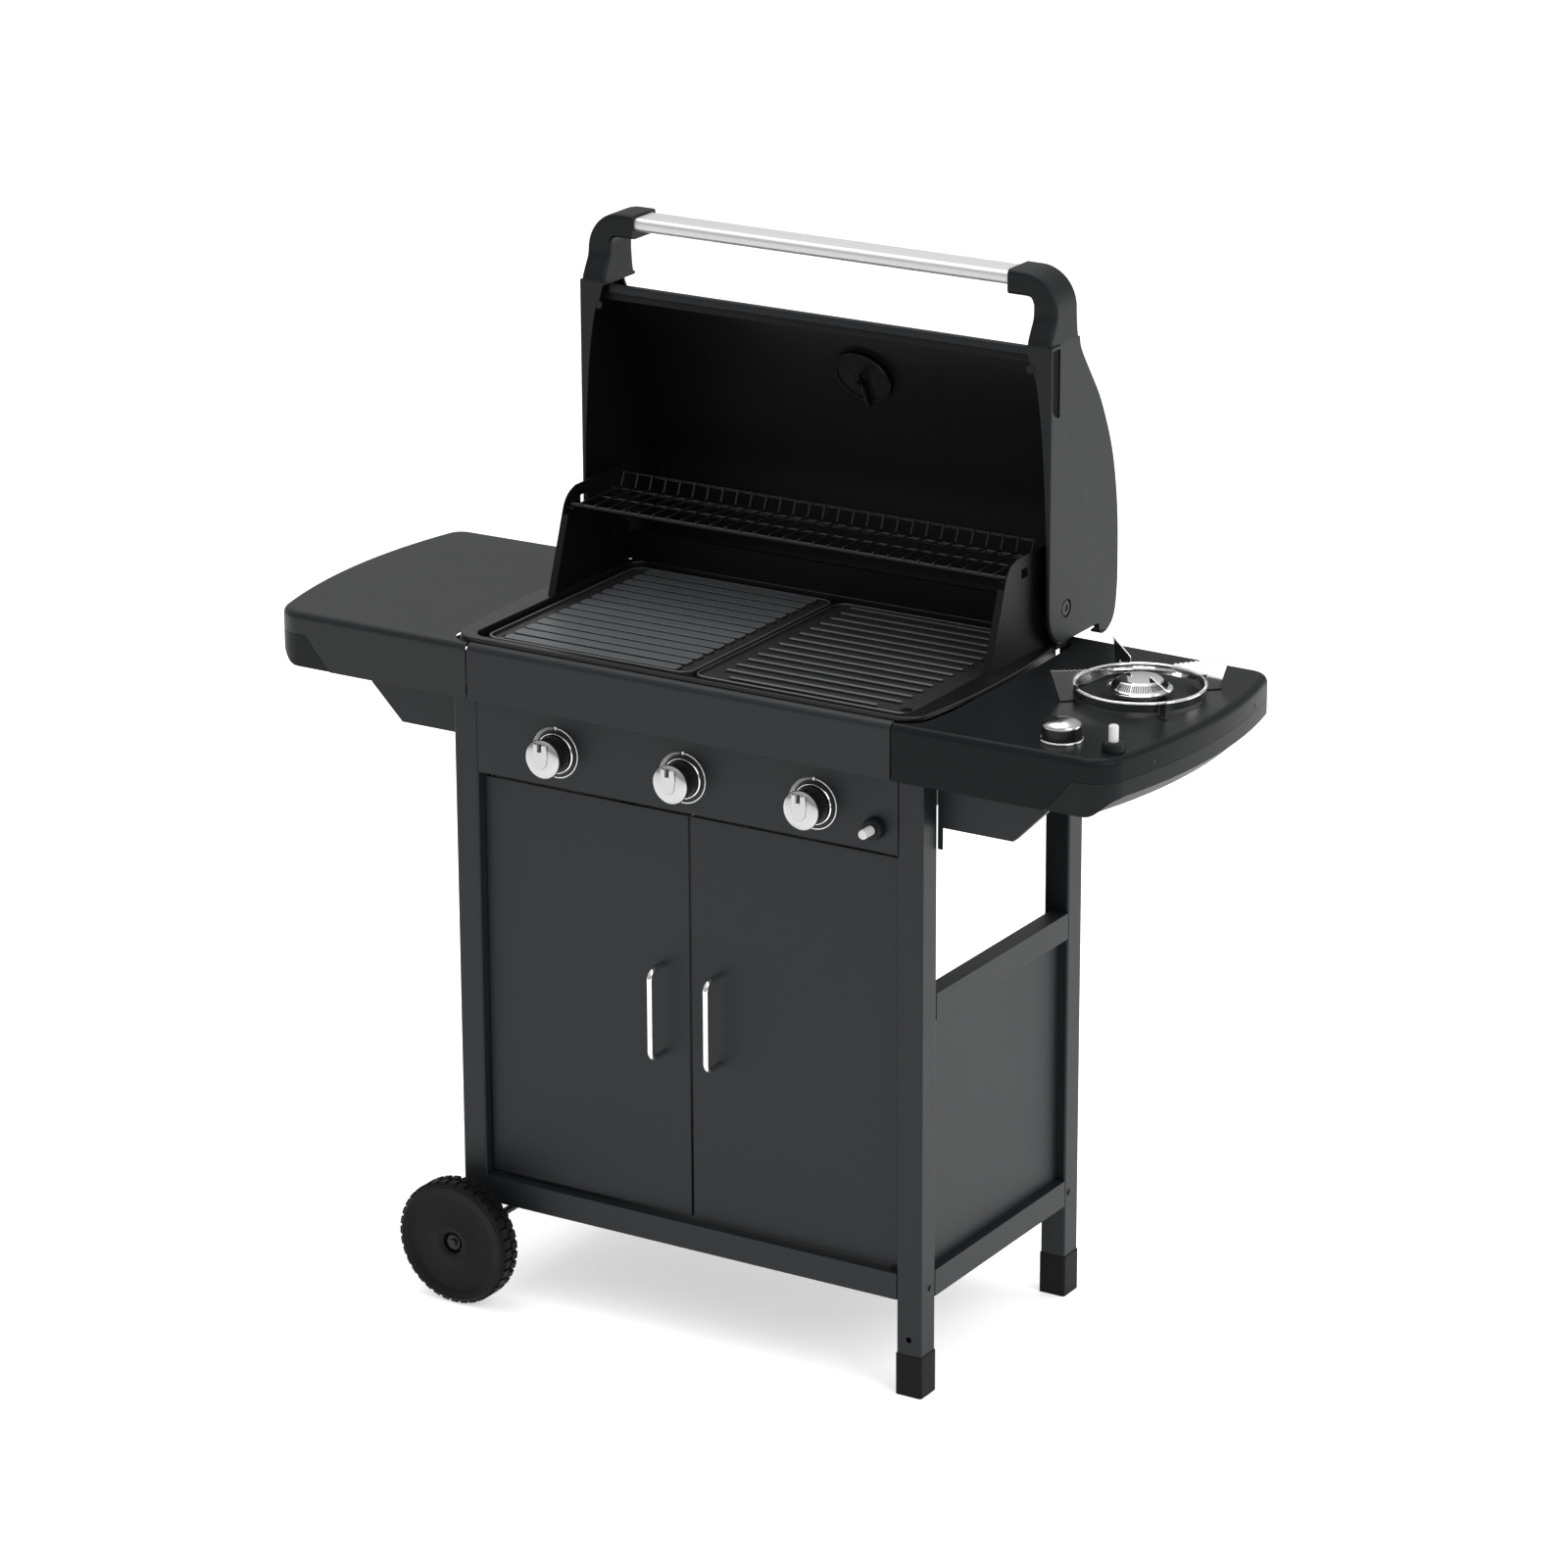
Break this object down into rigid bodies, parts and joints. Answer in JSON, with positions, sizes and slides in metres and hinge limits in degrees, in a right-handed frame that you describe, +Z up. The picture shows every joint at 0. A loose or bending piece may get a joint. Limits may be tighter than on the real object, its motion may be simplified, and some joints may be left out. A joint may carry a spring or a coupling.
{
  "type": "gas barbecue grill",
  "caption": "Gas barbecue on a wheeled cart with open hinged lid, cabinet doors, control knobs, grates, warming rack, two shelves and a side burner.",
  "frame": {"origin": "on the ground under the centre of the whole outline, lid open", "axes": "+X to the right seen from the front, +Y to the back, +Z up"},
  "size_m": [1.254, 0.5411, 1.359],
  "materials": {
    "frame_black": "satin powder coat",
    "foot_plastic": "moulded matt",
    "enamel_black": "semi-matt enamel",
    "lid_casting": "satin heat-proof paint on cast aluminium",
    "shelf_grey": "satin powder coat",
    "shelf_black": "gloss enamel",
    "steel_zinc": "zinc plated",
    "dark_screw": "blackened",
    "brass": "turned",
    "chrome": "bright",
    "pan_steel": "bright plated sheet",
    "bar_silver": "satin anodised",
    "gauge_black": "satin",
    "rubber": "matt",
    "knob_finish": "metallised front, black body",
    "button_grey": "gloss",
    "wheel_black": "moulded matt",
    "cast_iron": "matt enamelled",
    "rack_black": "enamelled wire",
    "tray_steel": "galvanised"
  },
  "bodies": {
    "cart": {"legs_left": "frame_black", "legs_right": "frame_black", "foot_caps": "foot_plastic", "rails": "frame_black", "side_panels": "frame_black", "bottom_panel": "frame_black", "control_panel": "frame_black", "front_fascia": "frame_black", "firebox": "enamel_black", "windbreaks": "enamel_black", "back_wall": "enamel_black", "burner_tubes": "steel_zinc", "flame_tamers": "enamel_black", "gas_manifold": "steel_zinc", "gas_valves": "brass", "knob_bezels": "chrome", "igniter_bases": "foot_plastic", "shelf_left": "shelf_grey", "shelf_right": "shelf_black", "shelf_trims": "foot_plastic", "shelf_brackets": "frame_black", "burner_ring": "chrome", "pan_supports": "pan_steel", "side_burner_head": "steel_zinc", "side_burner_cap": "steel_zinc", "side_feed_pipe": "brass", "axle": "steel_zinc", "axle_caps": "dark_screw", "frame_screws": "dark_screw", "shelf_screws": "dark_screw", "door_hinge_pins": "steel_zinc", "tray_runners": "dark_screw"},
    "lid": {"lid_skin": "enamel_black", "lid_side_left": "lid_casting", "lid_side_right": "lid_casting", "handle_bar": "bar_silver", "handle_brackets": "foot_plastic", "gauge": "gauge_black", "lid_bumpers": "rubber", "lid_bolts": "dark_screw"},
    "left_door": {"door_left": "frame_black", "door_handle_left": "chrome"},
    "right_door": {"door_right": "frame_black", "door_handle_right": "chrome"},
    "left_stem": {"stem_left": "steel_zinc"},
    "middle_stem": {"stem_middle": "steel_zinc"},
    "right_stem": {"stem_right": "steel_zinc"},
    "side_stem": {"stem_side": "steel_zinc"},
    "left_knob": {"knob_left": "knob_finish"},
    "middle_knob": {"knob_middle": "knob_finish"},
    "right_knob": {"knob_right": "knob_finish"},
    "side_knob": {"knob_side": "knob_finish"},
    "front_button": {"button_front": "button_grey"},
    "side_button": {"button_side": "button_grey"},
    "front_wheel": {"wheel_front": "wheel_black"},
    "back_wheel": {"wheel_back": "wheel_black"},
    "grate": {"cooking_grate": "cast_iron"},
    "griddle_plate": {"griddle": "cast_iron"},
    "rack": {"warming_rack": "rack_black"},
    "tray": {"grease_tray": "tray_steel"}
  },
  "joints": [
    {"name": "lid_hinge", "type": "hinge", "parent": "cart", "child": "lid", "pos_m": [0, 0.1345, 0.933], "axis": [-1, 0, 0], "range_deg": [-90, 0]},
    {"name": "left_door_hinge", "type": "hinge", "parent": "cart", "child": "left_door", "pos_m": [-0.295, -0.1935, 0.43], "axis": [0, 0, 1], "range_deg": [-95, 0]},
    {"name": "right_door_hinge", "type": "hinge", "parent": "cart", "child": "right_door", "pos_m": [0.295, -0.1935, 0.43], "axis": [0, 0, 1], "range_deg": [0, 95]},
    {"name": "left_valve_turn", "type": "hinge", "parent": "cart", "child": "left_stem", "pos_m": [-0.187, -0.2115, 0.753], "axis": [0, -1, 0], "range_deg": [0, 180]},
    {"name": "left_knob_push", "type": "slide", "parent": "left_stem", "child": "left_knob", "axis": [0, 1, 0], "range_m": [0, 0.003], "stiffness_N_per_m": 1500, "springref_m": -0.002},
    {"name": "middle_valve_turn", "type": "hinge", "parent": "cart", "child": "middle_stem", "pos_m": [0, -0.2115, 0.753], "axis": [0, -1, 0], "range_deg": [0, 180]},
    {"name": "middle_knob_push", "type": "slide", "parent": "middle_stem", "child": "middle_knob", "axis": [0, 1, 0], "range_m": [0, 0.003], "stiffness_N_per_m": 1500, "springref_m": -0.002},
    {"name": "right_valve_turn", "type": "hinge", "parent": "cart", "child": "right_stem", "pos_m": [0.187, -0.2115, 0.753], "axis": [0, -1, 0], "range_deg": [0, 180]},
    {"name": "right_knob_push", "type": "slide", "parent": "right_stem", "child": "right_knob", "axis": [0, 1, 0], "range_m": [0, 0.003], "stiffness_N_per_m": 1500, "springref_m": -0.002},
    {"name": "side_valve_turn", "type": "hinge", "parent": "cart", "child": "side_stem", "pos_m": [0.511, -0.1815, 0.881], "axis": [0, 0, 1], "range_deg": [0, 180]},
    {"name": "side_knob_push", "type": "slide", "parent": "side_stem", "child": "side_knob", "axis": [0, 0, -1], "range_m": [0, 0.003], "stiffness_N_per_m": 1500, "springref_m": -0.002},
    {"name": "front_button_push", "type": "slide", "parent": "cart", "child": "front_button", "axis": [0, 1, 0], "range_m": [0, 0.006], "stiffness_N_per_m": 600, "springref_m": -0.004},
    {"name": "side_button_push", "type": "slide", "parent": "cart", "child": "side_button", "axis": [0, 0, -1], "range_m": [0, 0.006], "stiffness_N_per_m": 600, "springref_m": -0.004},
    {"name": "front_wheel_spin", "type": "hinge", "parent": "cart", "child": "front_wheel", "pos_m": [-0.3225, -0.2525, 0.083], "axis": [0, 1, 0], "continuous": true},
    {"name": "back_wheel_spin", "type": "hinge", "parent": "cart", "child": "back_wheel", "pos_m": [-0.3225, 0.2295, 0.083], "axis": [0, 1, 0], "continuous": true},
    {"name": "grate_lift", "type": "slide", "parent": "cart", "child": "grate", "axis": [0, 0, 1], "range_m": [0, 0.1]},
    {"name": "griddle_lift", "type": "slide", "parent": "cart", "child": "griddle_plate", "axis": [0, 0, 1], "range_m": [0, 0.1]},
    {"name": "rack_lift", "type": "slide", "parent": "cart", "child": "rack", "axis": [0, 0, 1], "range_m": [0, 0.1]},
    {"name": "tray_slide", "type": "slide", "parent": "cart", "child": "tray", "axis": [0, 1, 0], "range_m": [0, 0.28]}
  ]
}
